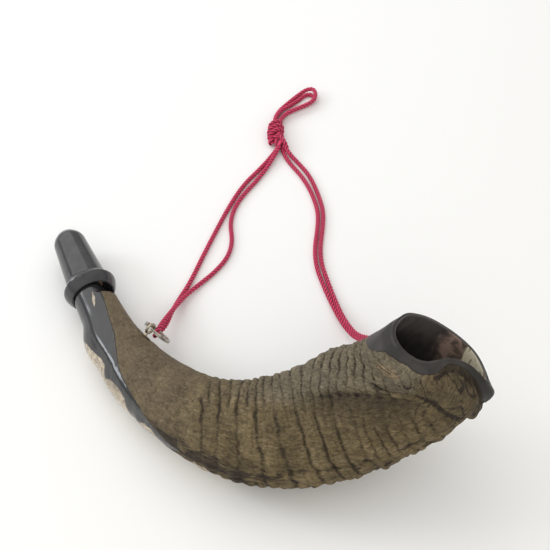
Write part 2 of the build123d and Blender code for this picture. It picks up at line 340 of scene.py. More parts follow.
def horn_outside():
    """Keratin: raw and ribbed, but smoked black at the neck, worn to cream there, and buffed at the lip."""
    g = Graph("horn_outside")
    t = horn_textures(g)
    neck, cream, lip = g.split(g.attribute("zone_a", "Color"))
    rough_edge = g.maths("MULTIPLY", g.maths("SUBTRACT", t.pits, 0.5), 0.22)
    smoked = g.step(g.maths("ADD", neck, g.maths("MULTIPLY", rough_edge, 0.7)), 0.47, 0.55)
    worn = g.step(g.maths("ADD", cream, rough_edge), 0.47, 0.56)
    buffed = g.step(g.maths("ADD", lip, g.maths("MULTIPLY", rough_edge, 0.5)), 0.46, 0.54)

    worn_colour = g.mix(g.step(t.patches, 0.32, 0.55), (0.24, 0.19, 0.135), (0.46, 0.39, 0.29))
    worn_colour = g.mix(0.7, worn_colour, t.shade, "MULTIPLY")
    worn_colour = g.mix(g.step(t.pits, 0.36, 0.47, 0.8, 0.0), worn_colour, (0.07, 0.052, 0.036))
    lip_colour = g.mix(g.step(t.patches, 0.35, 0.7), (0.014, 0.012, 0.010), (0.036, 0.031, 0.027))
    colour = g.mix(smoked, raw_horn(g, t), (0.026, 0.026, 0.027))
    colour = g.mix(worn, colour, worn_colour)
    colour = g.mix(buffed, colour, lip_colour)

    polish = g.maths("MAXIMUM", smoked, buffed)
    gloss = g.step(buffed, 0.0, 1.0, 0.15, 0.46)
    dry = g.step(t.rings, 0.3, 0.7, 0.78, 0.62)
    roughness = g.add("MapRange", 0, None, i0=polish, i1=0.0, i2=1.0, i3=dry, i4=gloss)
    shine = g.step(polish, 0.0, 1.0, 0.22, 0.55)
    shine = g.maths("SUBTRACT", shine, g.maths("MULTIPLY", buffed, 0.22))
    raw = g.maths("SUBTRACT", 1.0, polish)
    layers = ((t.rings, 0.0010, 0.4), (t.ticks, 0.0012, 0.7), (t.flecks, 0.0008, 0.7), (t.pits, 0.0008, 0.6))
    g.bump(*((g.maths("MULTIPLY", height, raw), distance, strength) for height, distance, strength in layers))
    return g.surface(Base_Color=colour, Roughness=roughness, Specular_IOR_Level=shine, IOR=1.5)


def horn_inside():
    """The scraped hollow: black-brown deep down, mottled brown and cream towards the thin edge, the cream
    patch partly the horn's own paler colour and partly painted light where the lamp reaches in.
    """
    g = Graph("horn_inside")
    grain = g.attribute("grain")
    pale_and_lit, brown, _ = g.split(g.attribute("zone_a", "Color"))
    streaks = g.noise(g.stretch(grain, (0.08, 0.28, 0.28)), 1.0, 5, 0.6, 0.6)
    patches = g.noise(grain, 0.16, 4, 0.6, 0.5)
    colour = g.mix(g.step(streaks, 0.35, 0.65), (0.055, 0.049, 0.046), (0.085, 0.076, 0.070))
    mottle = g.mix(g.step(patches, 0.42, 0.6), (0.40, 0.28, 0.23), (0.15, 0.11, 0.09))
    mottled = g.maths("ADD", brown, g.maths("MULTIPLY", streaks, 0.35))
    colour = g.mix(g.step(mottled, 0.58, 0.75), colour, mottle)
    # Cream patch: the horn's paler colour, brightened as painted light where the lamp reaches into the
    # hollow.
    cream = g.mix(g.step(streaks, 0.54, 0.60), (1.0, 0.92, 0.68), (0.42, 0.32, 0.22))
    creamy = g.maths("ADD", pale_and_lit, g.maths("MULTIPLY", streaks, 0.25))
    colour = g.mix(g.step(creamy, 0.62, 0.67), colour, cream)
    g.bump((streaks, 0.0006, 0.4), (patches, 0.0008, 0.3))
    return g.surface(Base_Color=colour, Roughness=0.42)


def black_polish():
    """Turned and buffed black: faint lathe rings, soft mottling and hairline scratches."""
    g = Graph("black_polish")
    place = g.millimetres()
    along = g.add("VectorMath", "Value", {"operation": "DOT_PRODUCT"}, i0=place, i1=tuple(LIPS))
    ring_place = g.add("CombineXYZ", 0, None, X=along)
    lathe = g.noise(ring_place, 2.2, 3, 0.6)
    scratches = g.noise(g.stretch(place, (0.35, 2.6, 1.1)), 1.0, 4, 0.7)
    dust = g.noise(place, 0.12, 4, 0.6)
    colour = g.mix(g.step(dust, 0.35, 0.7), (0.032, 0.032, 0.034), (0.046, 0.046, 0.049))
    g.bump((lathe, 0.00005, 0.15), (scratches, 0.00003, 0.12))
    rough = g.step(scratches, 0.3, 0.7, 0.10, 0.20)
    return g.surface(Base_Color=colour, Roughness=rough, IOR=1.5)


def cork():
    g = Graph("cork")
    place = g.millimetres()
    grains = g.noise(place, 1.3, 4, 0.7)
    colour = g.mix(g.step(grains, 0.4, 0.6), (0.30, 0.17, 0.085), (0.52, 0.36, 0.21))
    g.bump((grains, 0.0004, 0.6))
    return g.surface(Base_Color=colour, Roughness=0.85)


def metal(name, clean, dull, tarnish, rough):
    """Plated wire, duller in blotches and finely scratched."""
    g = Graph(name, Metallic=1.0)
    place = g.millimetres()
    blotches = g.noise(place, 0.45, 5, 0.65)
    scratches = g.noise(g.stretch(place, (1.5, 5.0, 3.0)), 1.0, 3, 0.6)
    colour = g.mix(g.step(blotches, 0.38, 0.62), clean, dull)
    colour = g.mix(g.step(blotches, 0.62, 0.75, 0.0, 0.8), colour, tarnish)
    g.bump((scratches, 0.00008, 0.4))
    return g.surface(Base_Color=colour, Roughness=g.step(blotches, 0.35, 0.7, rough, rough + 0.25))


def crimson():
    """Twisted crimson yarn: fine fibres along each ply, with painted shade darkening each ply where it meets
    the others and leaving its crown paler.
    """
    g = Graph("crimson_yarn", Sheen_Weight=0.15, Sheen_Roughness=0.4)
    fibres = g.add("UVMap", 0, {"uv_map": "ply"})
    threads = g.noise(g.stretch(fibres, (7.0, 30.0, 1.0)), 1.0, 3, 0.6)
    lint = g.noise(g.millimetres(), 1.8, 3, 0.6)
    crown = g.attribute("crown", "Fac")
    colour = g.mix(g.step(threads, 0.35, 0.65), (0.52, 0.019, 0.080), (0.80, 0.066, 0.170))
    # Painted shade where the plies meet.
    colour = g.mix(g.step(crown, 0.97, 0.68, 0.0, 0.85), colour, (0.13, 0.002, 0.018))
    colour = g.mix(g.step(lint, 0.55, 0.75, 0.0, 0.2), colour, (0.62, 0.09, 0.15))
    g.bump((threads, 0.00025, 0.6), (lint, 0.0002, 0.3))
    return g.surface(Base_Color=colour, Roughness=0.72, Sheen_Tint=(0.95, 0.45, 0.55, 1))


def floor_paint():
    g = Graph("floor", Roughness=0.9, Specular_IOR_Level=0.1)
    broad = g.noise(g.add("TexCoord", "Object"), 3.0, 2, 0.5)
    return g.surface(Base_Color=g.mix(broad, (0.86, 0.858, 0.845), (0.90, 0.898, 0.888)))


# Stage, lights and camera

def stage():
    scene.view_settings.view_transform = "Standard"
    floor = piece("floor", [(-4, -4, 0), (4, -4, 0), (4, 4, 0), (-4, 4, 0)], [(0, 1, 2, 3)], floor_paint())
    world = bpy.data.worlds.new("studio")
    world.use_nodes = True
    nodes, links = world.node_tree.nodes, world.node_tree.links
    sky = nodes.new("ShaderNodeValToRGB")
    height = nodes.new("ShaderNodeSeparateXYZ")
    links.new(nodes.new("ShaderNodeTexCoord").outputs["Generated"], height.inputs[0])
    links.new(height.outputs[2], sky.inputs[0])
    sky.color_ramp.elements[0].position, sky.color_ramp.elements[0].color = 0.05, (0.45, 0.45, 0.45, 1)
    sky.color_ramp.elements[1].position, sky.color_ramp.elements[1].color = 0.55, (1.0, 0.992, 0.975, 1)
    links.new(sky.outputs[0], nodes["Background"].inputs[0])
    nodes["Background"].inputs[1].default_value = 0.82
    scene.world = world
    for name, place, target, size, power, colour in (
        ("window", (-0.75, 0.85, 1.0), (-0.05, 0.05, 0.0), 1.7, 9.0, (0.98, 0.99, 1.0)),
        ("side", (-1.15, 0.25, 0.55), (0.0, 0.0, 0.02), 0.4, 3.8, (0.90, 0.94, 1.0)),
        ("front", (0.45, -1.4, 0.8), (0.1, 0.0, 0.0), 1.6, 7.0, (1.0, 0.96, 0.88)),
    ):
        light = bpy.data.lights.new(name, "AREA")
        light.size, light.energy, light.color = size, power, colour
        obj = bpy.data.objects.new(name, light)
        obj.location = place
        obj.rotation_euler = (Vector(target) - Vector(place)).to_track_quat("-Z", "Y").to_euler()
        scene.collection.objects.link(obj)


def camera():
    data = bpy.data.cameras.new("camera")
    data.lens, data.sensor_width = 70, 36
    obj = bpy.data.objects.new("camera", data)
    obj.location = (0.015, -0.3947, 0.5624)
    obj.rotation_euler = (math.radians(40), 0, 0)
    scene.collection.objects.link(obj)
    scene.camera = obj


# Cords

def spline_points(name, route):
    """Points in metres along the NURBS spline whose control points are the route's."""
    curve = bpy.data.curves.new(name, "CURVE")
    curve.dimensions = "3D"
    curve.resolution_u = 16
    spline = curve.splines.new("NURBS")
    spline.points.add(len(route) - 1)
    for point, place in zip(spline.points, route):
        point.co = (*(Vector(place) * MM), 1)
    spline.order_u = 3
    spline.use_endpoint_u = True
    obj = bpy.data.objects.new(name, curve)
    scene.collection.objects.link(obj)
    mesh = bpy.data.meshes.new_from_object(obj)
    line = np.array([v.co for v in mesh.vertices])
    bpy.data.objects.remove(obj)
    return line


def carried_frames(line, step):
    """Even points along a line, two directions across it carried without twist, and the distance."""
    runs = np.r_[0, np.cumsum(np.linalg.norm(np.diff(line, axis=0), axis=1))]
    distance = np.linspace(0, runs[-1], int(runs[-1] / step) + 2)
    points = np.stack([np.interp(distance, runs, line[:, a]) for a in range(3)], 1)
    tangent = unit(np.gradient(points, axis=0))
    side = np.zeros_like(points)
    last = np.cross(tangent[0], (0.3, 0.2, 1.0))
    for i, t in enumerate(tangent):
        last = last - t * (last @ t)
        last /= np.linalg.norm(last)
        side[i] = last
    return points, side, np.cross(tangent, side), distance


# A ply's radius and its distance from the rope's centre, as parts of the rope's radius
PLY_RADIUS, PLY_OFFSET = 0.55, 0.58
PLIES = 3
ABOVE_FLOOR = 0.00003       # metres that the yarn stays clear of the floor


def rope(name, line, radius, material, lay=0.0085, around=8, step=0.0008, phase=0.0):
    """A rope of three plies twisted along a line in metres, rounded off at both ends."""
    points, side, up, distance = carried_frames(line, step)
    ply_radius, offset = PLY_RADIUS * radius, PLY_OFFSET * radius
    rows = len(points)
    verts, faces, uvs, crown = [], [], [], []
    round_ply = np.linspace(0, 2 * math.pi, around, endpoint=False)
    from_end = np.clip(np.minimum(distance, distance[-1] - distance) / radius, 0, 1)
    close = np.sqrt(np.clip(1 - (1 - from_end) ** 2, 0.02, 1))[:, None]
    for ply in range(PLIES):
        turn = 2 * math.pi * (distance / lay + ply / PLIES) + phase
        out = np.cos(turn)[:, None] * side + np.sin(turn)[:, None] * up
        centre = points + offset * (0.4 + 0.6 * close) * out
        tangent = unit(np.gradient(centre, axis=0))
        out = unit(out - tangent * (out * tangent).sum(1, keepdims=True))
        across = np.cross(tangent, out)
        ring = np.cos(round_ply)[:, None] * out[:, None] + np.sin(round_ply)[:, None] * across[:, None]
        first = ply * rows * around
        verts.append((centre[:, None] + ply_radius * close[:, None] * ring).reshape(-1, 3))
        # How far each point faces out from the rope's centre; the yarn's colour uses it for painted shade
        # between the plies.
        crown.append(np.tile(0.5 + 0.5 * np.cos(round_ply), rows))
        faces.append(grid_faces(rows, around, first)[:, ::-1])
        r, c = np.meshgrid(np.arange(rows - 1), np.arange(around), indexing="ij")
        corner_u = np.stack([c + 1, c + 1, c, c], -1) / around
        corner_v = np.stack([distance[r], distance[r + 1], distance[r + 1], distance[r]], -1) * 100
        uvs.append(np.stack([corner_u, corner_v], -1).reshape(-1, 2))
    starts = [ply * rows * around for ply in range(PLIES)]
    caps = [range(start + around - 1, start - 1, -1) for start in starts]
    caps += [range(start + (rows - 1) * around, start + rows * around) for start in starts]
    quads = np.concatenate(faces)
    points = np.concatenate(verts)
    points[:, 2] = np.maximum(points[:, 2], ABOVE_FLOOR)
    obj = piece(name, points, [*quads, *caps], material)
    layer = obj.data.uv_layers.new(name="ply")
    flat = np.zeros((len(obj.data.loops), 2), np.float32)
    flat[:len(quads) * 4] = np.concatenate(uvs)
    layer.data.foreach_set("uv", flat.ravel())
    obj.data.attributes.new("crown", "FLOAT", "POINT").data.foreach_set("value", np.concatenate(crown))
    return obj


# Overhand knot: a strand that winds down round the others
KNOT_WRAP = [
    (17.6, 227.0, 2.6), (20.2, 226.0, 4.8), (17.4, 225.2, 8.2), (12.6, 223.4, 7.8), (10.4, 221.6, 4.2),
    (13.0, 220.6, 1.6), (18.6, 220.6, 1.9), (21.0, 221.2, 4.8), (18.4, 220.6, 8.8), (12.8, 218.2, 8.6),
    (9.6, 216.0, 4.8), (12.4, 215.0, 1.6), (18.4, 215.4, 1.6), (21.2, 216.4, 4.8), (18.8, 216.0, 8.8),
    (13.4, 213.2, 8.8), (9.9, 210.8, 5.4), (11.6, 209.8, 2.2), (17.0, 209.8, 1.6), (20.8, 211.0, 3.6),
    (20.0, 211.6, 7.0), (16.8, 209.6, 7.8), (14.4, 206.6, 6.8),
]
# The blunt tail, the cords inside the knot, and the strand over the place where they come out
KNOT_TAIL = [
    (17.0, 219.0, 5.0), (14.8, 215.0, 5.2), (12.8, 210.6, 4.0), (11.8, 206.8, 3.2), (11.6, 204.2, 3.0),
]
KNOT_CORE = [
    (16.2, 227.5, 3.2), (15.6, 222.0, 4.6), (15.6, 215.0, 4.8), (18.0, 208.0, 4.2), (19.3, 200.0, 3.2),
]
KNOT_BIND = [
    (17.0, 210.6, 6.4), (19.4, 207.8, 7.8), (21.4, 204.6, 7.4), (22.8, 201.6, 6.4), (24.0, 199.4, 4.4),
    (23.4, 198.0, 1.8),
]

TAIL_R, CORE_R = 2.1, 3.3   # mm, thicker than the cord: two strands and four strands together


def cords(yarn):
    knot = [
        rope("knot_" + name, spline_points(name, route), radius * MM, yarn, **twist)
        for name, route, radius, twist in (
            ("wrap", KNOT_WRAP, CORD_R, {"step": 0.0005}),
            ("tail", KNOT_TAIL, TAIL_R, {"lay": 0.012, "step": 0.0005, "around": 12}),
            ("bind", KNOT_BIND, CORD_R, {"step": 0.0005}),
            ("core", KNOT_CORE, CORE_R, {"lay": 0.022, "step": 0.0007, "around": 12}),
        )
    ]
    for obj in knot:
        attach(obj, "instrument")
    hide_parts("cord_knot")

    left_line = spline_points("left_line", LEFT_ROUTE)
    left = rope("left_cord", left_line, CORD_R * MM, yarn)
    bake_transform(left, "instrument", "left_ring", start=(-0.037, 0.066, 0.0015), end=(-0.058, 0.020, 0.014))
    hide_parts("cord_left")
    right_line = spline_points("right_line", RIGHT_ROUTE)
    right = rope("right_cord", right_line, CORD_R * MM, yarn, phase=1.0)
    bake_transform(right, "instrument", "right_ring", start=(0.058, 0.045, 0.003), end=(0.077, -0.004, 0.031))
    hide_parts("cord_right")

    for name, node, route, length in (
        ("outer_loop", "hang_loop_outer", OUTER_LOOP, 0.1176),
        ("inner_loop", "hang_loop_inner", INNER_LOOP, 0.1088),
    ):
        line = spline_points(name + "_line", route)
        loop = rope(name, line, CORD_R * MM, yarn, phase=2.0)
        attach(loop, "instrument")
        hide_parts(node)


# Split rings, in mm

EYE_STAND = 6.2             # the screw eye's centre above its seat
RING_R = 9.2                # to the middle of the wire
WIRE_HALF_WIDTH, WIRE_HALF_THICKNESS = 0.75, 0.5
TURN_LEVEL = 0.53           # each turn's distance from the ring's plane
SQUARENESS = 0.55           # 1 makes the wire's section round, 0 square


def split_ring(name, node, body, seat, out, lean, material):
    """A key ring of two flat turns that step over each other at one place."""
    out = unit(np.array(out))
    swing = unit(np.cross(out, (0, 0, 1)))
    level = np.cross((0, 0, 1), swing)
    lean = math.radians(lean)
    down = level * math.sin(lean) - np.array((0, 0, 1)) * math.cos(lean)
    eye = np.array(seat) + out * EYE_STAND
    centre, axis = eye + down * RING_R, np.cross(swing, down)
    jog, rows, section = 0.42, 220, 10
    turn = np.linspace(jog, 4 * math.pi - jog, rows)
    level_at = TURN_LEVEL * (2 * smooth(2 * math.pi - jog, 2 * math.pi + jog, turn) - 1)
    spoke = np.cos(turn)[:, None] * -down + np.sin(turn)[:, None] * swing
    around = np.linspace(0, 2 * math.pi, section, endpoint=False)
    wide, thick = (
        half * np.sign(wave) * np.abs(wave) ** SQUARENESS
        for half, wave in ((WIRE_HALF_WIDTH, np.cos(around)), (WIRE_HALF_THICKNESS, np.sin(around)))
    )
    points = centre + spoke[:, None] * (RING_R + wide)[:, None]
    points = points + axis * (level_at[:, None, None] + thick[:, None])
    quads = grid_faces(rows, section)
    caps = [range(section - 1, -1, -1), range((rows - 1) * section, rows * section)]
    obj = piece(name, points.reshape(-1, 3) * MM, [*quads, *caps], material)
    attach(obj, body)
    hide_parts(node)


# Horn

# Grooves between the growth ribs, in mm along the horn
RIB_GROOVES = np.array([
    60, 72, 84, 96, 108, 119, 130, 137.5, 145, 151, 157.5, 163, 168, 175, 182, 190, 197, 204, 210.5, 217,
    223.5, 230, 236, 242.5, 249, 256, 262.5, 269, 276, 283, 291, 300,
])
# The wider bands of the lower face, where every other groove is faint
BROAD_GROOVES = np.array([60, 84, 108, 124, 137.5, 151, 163, 175, 190, 204, 217, 230, 249, 269, 300])

# Values that change along the horn, as (mm from the collar, value) stops: how far the ribs slant and how
# much they stand out, the angle of the furrow and of the neck's ridge, and how flat the keel is cut
RIB_SLANT = [(100, -0.27), (135, -0.27), (147, -0.12), (170, -0.07), (183, -0.07), (195, 0), (213, 0.2),
             (236, 0.34), (262, 0.34)]
RIB_GROWTH = [(98, 0), (116, 0.3), (132, 0.9), (150, 1), (255, 1), (264, 0.4), (288, 0.15)]
FURROW = [(180, 100), (194, 99), (228, 97), (240, 94), (250, 88), (262, 80)]
NECK_RIDGE = [(20, 50), (36, 50), (61, 52), (73, 44), (85, 37), (95, 33), (118, 28), (135, 20)]
KEEL_FLAT = [(70, 0), (85, 1.0), (100, 1.6), (118, 1.7), (135, 1.5), (150, 1.5), (170, 1.7), (200, 1.4),
             (225, 0)]
# The edges of the smoked neck and of the worn cream on its keel side, as angles from the keel
SMOKED_EDGE = [(0, 200), (6.6, 200), (7.4, 107), (12, 105), (30, 94), (47, 84), (58, 70), (71, 53), (86, 42),
               (94, 36), (104, 24), (119, 8), (137, -14), (160, -25), (172, -30)]
SCALLOPS = [(24, -16), (33, 6), (38, 16), (45, 22), (50, 27), (54, 32), (59, 33), (62, 20), (64, 12),
            (68, 24), (73, 28), (79, 28), (84, 22), (87, 5), (90, -8), (95, 0), (101, 12), (106, 12),
            (110, 0), (115, -15), (128, -25), (132, -8), (138, -4), (143, -14), (150, -40), (165, -120)]
NECK_STREAK = [(0, 90), (5, 85), (21, 70), (28, 66)]

# Values that change round the horn, as (degrees, mm) stops: where the polished lip starts, the crease that
# the last band of growth overhangs, and the thickness of the wall at the lip
LIP_START = [(-60, 282), (-20, 280), (8, 273.8), (21, 276), (30, 280.7), (36, 283.6), (44, 285.3), (61, 287),
             (70, 286.5), (83, 283.6), (103, 283.6), (118, 285.3), (137, 283.6), (148, 281.9), (157, 276),
             (160, 269.2), (172, 265.7), (195, 268), (220, 278), (260, 282)]
CREASE = [(-40, 263), (21, 262.3), (45, 264), (55, 264.6), (66, 266.9), (76, 268.1), (85, 269.2), (94, 269.2),
          (98, 263.4), (101, 254.8), (112, 250)]
LIP_WALL = [(0, 2.4), (40, 3.0), (90, 3.0), (150, 3.4), (185, 2.2), (230, 1.7), (300, 1.6)]
# Shift of the lip from the plain section in mm, every 15 degrees: up in the picture plane, and to the right
LIP_LIFT = [-6.4, -0.4, 5.0, 7.6, 7.5, 4.6, -1.1, -5.6, -7.4, -7.6, -6.6, -4.4, -2.3, -1.1, -0.5, -0.5,
            0, 0, 0, 0, 0, 0, -1.6, -5.4]
LIP_RIGHT = [0.2, 0.4, -0.6, 0.2, 0.3, 0.5, 0.9, 1.1, 0.7, -0.3, -1.2, -1.2, 0.3, 1.6, 2.1, 1.9,
             1.2, 0.2, -0.4, -0.9, -1.3, -1.6, -1.4, -0.2]
PICTURE_UP, PICTURE_RIGHT = np.array((0, 0.766, 0.643)), np.array((1, 0, 0))

COLUMNS = 320               # points round the horn, the first on the keel
ANGLES = np.linspace(0, 360, COLUMNS, endpoint=False)
COS, SIN = np.cos(np.radians(ANGLES))[:, None], np.sin(np.radians(ANGLES))[:, None]
AIR_WAY_R = 3.5
FLOOR_GAP = 0.02            # mm kept between the horn and the surface it lies on
MM_PER_DEGREE = 0.35        # round the neck, to turn angles into the masks' millimetres
SLANT_REACH = 57.3          # mm that a groove runs along the horn at a slant of 1


def horn_frames():
    """Splines of the horn's centre, its half width and depth vectors outside and in, over length."""
    centres, wide, deep, wide_in, deep_in = [], [], [], [], []
    for centre, width, depth, *degrees, hollow_width, hollow_depth in SECTIONS:
        heading, rise, roll = np.radians(degrees)
        level = np.array((math.cos(heading), math.sin(heading), 0))
        ahead = level * math.cos(rise) + np.array((0, 0, math.sin(rise)))
        keel = np.array((math.sin(heading), -math.cos(heading), 0.0))
        keel = keel * math.cos(roll) - np.cross(ahead, keel) * math.sin(roll)
        up = np.cross(keel, ahead)
        centres.append(centre)
        wide.append(keel * width / 2)
        deep.append(up * depth / 2)
        wide_in.append(keel * hollow_width / 2)
        deep_in.append(up * hollow_depth / 2)
    length = np.r_[0, np.cumsum(np.linalg.norm(np.diff(centres, axis=0), axis=1))]
    rows = (centres, wide, deep, wide_in, deep_in)
    return length, [natural_spline(length, np.array(row, float)) for row in rows]


def ovals(centre, across, up):
    """Rings of points round the centres, with the half axes given."""
    return centre[:, None] + across[:, None] * COS + up[:, None] * SIN


def lip_shift(s, theta):
    """The lip's drift from the plain section, growing over the last of the horn."""
    places = np.arange(0, 360, 15)
    lift, right = (
        np.mean([ring_curve(zip(places, values), theta + blur) for blur in (-8, 0, 8)], axis=0)
        for values in (LIP_LIFT, LIP_RIGHT)
    )
    return smooth(256, 289, s)[..., None] * (lift[..., None] * PICTURE_UP + right[..., None] * PICTURE_RIGHT)


def rib_pattern(phase, grooves):
    """Height of the bands between grooves, and the distance to the nearest groove in mm."""
    index = np.clip(np.searchsorted(grooves, phase) - 1, 0, len(grooves) - 2)
    width = np.diff(grooves)[index]
    share = np.clip((phase - grooves[index]) / width, 0, 1)
    height = np.random.default_rng(3).uniform(0.75, 1.2, len(grooves))[index]
    return height * (1 - (1 - share) ** 7) * (1 - 0.75 * share**2.2), np.minimum(share, 1 - share) * width


class Skin:
    """The horn's surface as it takes shape: s is the distance along the horn and theta the angle round it,
    from the keel over the crown; spot is the same place in mm. relief is the height over the plain horn in
    mm; gap masks the grooves, valley the furrow and the last band, both also used for painted shade, and
    the dark mask holds sooty grime with painted shade in creases and undercuts."""

    def __init__(self, s, theta, spot):
        self.s, self.theta, self.spot = s, theta, spot
        self.turn = wrap(theta)
        self.past_edge = s - ring_curve(LIP_START, theta)
        self.soot_and_shade = np.zeros_like(s)

    def off(self, angle):
        """Degrees from the angle, the short way round."""
        return wrap(self.theta - angle)

    def noise(self, size, seed):
        """Noise with bumps of this size in mm."""
        return value_noise(self.spot / size, seed)

    def streaks(self, along_size, round_size, seed):
        """Noise that follows the ribs."""
        place = [self.phase / along_size, self.spot[..., 1] / round_size, self.spot[..., 2] / round_size]
        return value_noise(np.stack(place, -1), seed)

    # Adds to the dark mask: sooty grime and real marks, and painted shade in creases, undercuts and grooves.
    def grime_and_shade(self, mask):
        self.soot_and_shade = np.maximum(self.soot_and_shade, mask)


def grow_ribs(skin):
    """Growth ribs, slanted, broken and uneven, fine on the crown and broad on the lower face."""
    s, theta, spot = skin.s, skin.theta, skin.spot
    phase = s - stops(RIB_SLANT, s) * SLANT_REACH * np.sin(np.radians(theta - 95))
    phase = phase + 1.5 * value_noise(spot * 0.045, 1) + 0.7 * value_noise(spot * (0.11, 0.2, 0.2), 2)
    skin.phase = phase = phase + 0.75 * value_noise(spot * (0.14, 0.52, 0.52), 10)
    fine, skin.to_groove = rib_pattern(phase, RIB_GROOVES)
    broad, to_broad = rib_pattern(phase, BROAD_GROOVES)
    lower = (1 - smooth(84, 104, theta)) * (1 - smooth(212, 232, s))
    ribs = fine * (1 - 0.72 * lower) + broad * 0.72 * lower
    grown = stops(RIB_GROWTH, s) * (1 - 0.93 * smooth(-1.5, 0.5, skin.past_edge))
    uneven = 0.92 + 0.3 * skin.noise((30, 14, 14), 18)
    strength = grown * uneven * (0.88 + 0.12 * np.cos(np.radians(theta - 135)))
    skin.ribs = strength * ribs
    skin.relief = 1.85 * strength * (ribs - 0.6)

    # The groove mask, which the horn's colour darkens as painted shade.
    broken = np.clip(0.8 + 0.6 * skin.noise((9, 5, 5), 11), 0, 1)
    fine_gap = 0.82 * broken * hump(skin.to_groove, 1.0) + 0.18 * hump(skin.to_groove, 2.4)
    broad_gap = 0.82 * broken * hump(to_broad, 1.3) + 0.35 * hump(to_broad, 3.0)
    skin.gap = strength * np.maximum(fine_gap * (1 - 0.62 * lower), broad_gap * lower)

    skin.relief += (0.30 * grown + 0.16 * plateau(s, 40, 70, 100, 130)) * skin.streaks(1.6, 50 / 3, 3)
    skin.relief += grown * (0.45 * skin.noise(6.5, 4) + 0.36 * skin.noise((3.4, 1.7, 1.7), 5))


def carve_furrow(skin):
    """The furrow along the side, stepping down from the ribbed crown, with painted shade in the furrow and
    painted shadow under the step's edge.
    """
    off = skin.theta - stops(FURROW, skin.s)
    deep = plateau(skin.s, 186, 218, 258, 268)
    skin.valley = deep * np.where(off < 2, hump(off - 2, 26), hump(off - 2, 4.5))
    skin.relief += 0.9 * deep * hump(off - 11, 7) - 3.0 * skin.valley
    # Painted shadow under the edge of the ribbed step, strongest at the grooves.
    skin.grime_and_shade(0.8 * deep * hump(off - 3, 3.2) * (0.12 + 0.88 * hump(skin.to_groove, 2.0)))
    skin.gap = skin.gap * (1 - 0.75 * skin.valley)


def wrinkle(skin):
    """Wrinkles of the furrow, of the last band and of the young horn beside the neck, darkened along their
    lines with painted shade.
    """
    s, spot = skin.s, skin.spot
    place = [skin.phase / 6.5 + spot[..., 1] / 15, spot[..., 1] / 12, spot[..., 2] / 12]
    creased = value_noise(np.stack(place, -1), 16)
    bell = smooth(215, 245, s) * (1 - smooth(-3, 0, skin.past_edge))
    bell = bell * smooth(-30, 0, skin.turn) * (1 - smooth(95, 150, skin.theta))
    young = plateau(s, 20, 45, 95, 125) * smooth(50, 80, skin.turn)
    lines = np.maximum(bell, 0.8 * skin.valley) * hump(creased, 0.09)
    lines = np.maximum(lines, 0.7 * bell * hump(skin.streaks(5, 3.2, 17), 0.07))
    lines = np.maximum(lines, 0.55 * young * hump(creased, 0.08))
    skin.relief -= 0.7 * lines
    # Painted shade along the wrinkle lines.
    skin.grime_and_shade((0.45 + 0.3 * smooth(262, 272, s)) * lines)


def overhang_last_band(skin):
    """The crease, and the last band of growth, which stands over it; painted shade darkens the band and the
    crease.
    """
    near = plateau(skin.turn, -25, 10, 102, 114)
    past = skin.s - ring_curve(CREASE, skin.theta)
    skin.relief += near * (1.3 * plateau(past, 0, 2.5, 8, 18) - 2.4 * hump(past + 1.0, 2.0))
    shaded = 0.55 * near * smooth(0, 3, past) * (1 - smooth(-3, 0, skin.past_edge))
    skin.valley = np.maximum(skin.valley, shaded)
    # Painted shadow in the crease under the band.
    skin.grime_and_shade(near * hump(past + 0.7, 1.6) * (1.0 + 0.3 * skin.noise(5, 12)))


def shape_lip(skin):
    """The ear beside the lip with its dark oval scar, the undercut below the lip's bead with painted shadow
    in it, and the bead.
    """
    s, past_edge = skin.s, skin.past_edge
    skin.relief += (2.6 * hump(s - 283, 5) - 2.8 * hump(s - 273, 5)) * hump(skin.off(6), 22)
    below = plateau(skin.turn, -6, 10, 72, 94)
    skin.relief -= 1.5 * below * hump(past_edge + 2.2, 1.8)
    skin.relief += 0.7 * smooth(-0.6, 0.8, past_edge) * (0.4 + 0.6 * below)
    # Painted shadow in the undercut below the bead.
    skin.grime_and_shade(1.3 * below * hump(past_edge + 1.7, 1.5))
    scar = np.sqrt(((s - 269.5) / 3.2) ** 2 + (skin.off(22) / 7) ** 2)
    skin.grime_and_shade(0.75 * hump(scar - 0.75, 0.4))
    skin.relief -= 0.7 * hump(scar, 0.8)
    skin.relief -= 1.9 * smooth(280, 291, s) ** 1.5 * plateau(skin.theta, 80, 105, 185, 215)


def scrape_tan_patch(skin):
    """Dark scraped lines across the tan patch by the lip."""
    patch = hump(skin.off(130), 22) * hump(skin.s - 272, 9) * (1 - smooth(-2, 0, skin.past_edge))
    place = np.stack([skin.s / 2.2 + skin.theta / 9, skin.theta / 40, skin.s / 60], -1)
    skin.grime_and_shade(0.85 * patch * hump(value_noise(place, 19), 0.22))


def roughen_keel(skin):
    """Knobs along the keel, the groove beside them with painted shade in it, and the sooty strip that runs
    down from the neck.
    """
    knobs = plateau(skin.s, 120, 175, 272, 284) * hump(skin.off(4), 30)
    skin.relief += knobs * (1.5 * skin.noise(8.5, 6) + 0.9 * skin.noise(4.0, 7))
    beside = plateau(skin.s, 150, 185, 262, 275)
    skin.relief -= 0.9 * beside * hump(skin.off(27), 4)
    strip = hump(skin.off(9), 24) * plateau(skin.s, 80, 98, 155, 190)
    skin.grime_and_shade(strip * (0.66 + 0.6 * skin.noise((6, 3, 3), 13)))
    # Painted shade in the groove beside the knobs.
    skin.grime_and_shade(0.55 * beside * hump(skin.off(27), 3.5) * (0.6 + 0.6 * skin.noise(6, 14)))
    skin.grime_and_shade(knobs * 0.8 * smooth(0.4, 0.8, skin.noise((6, 3.5, 3.5), 15)))


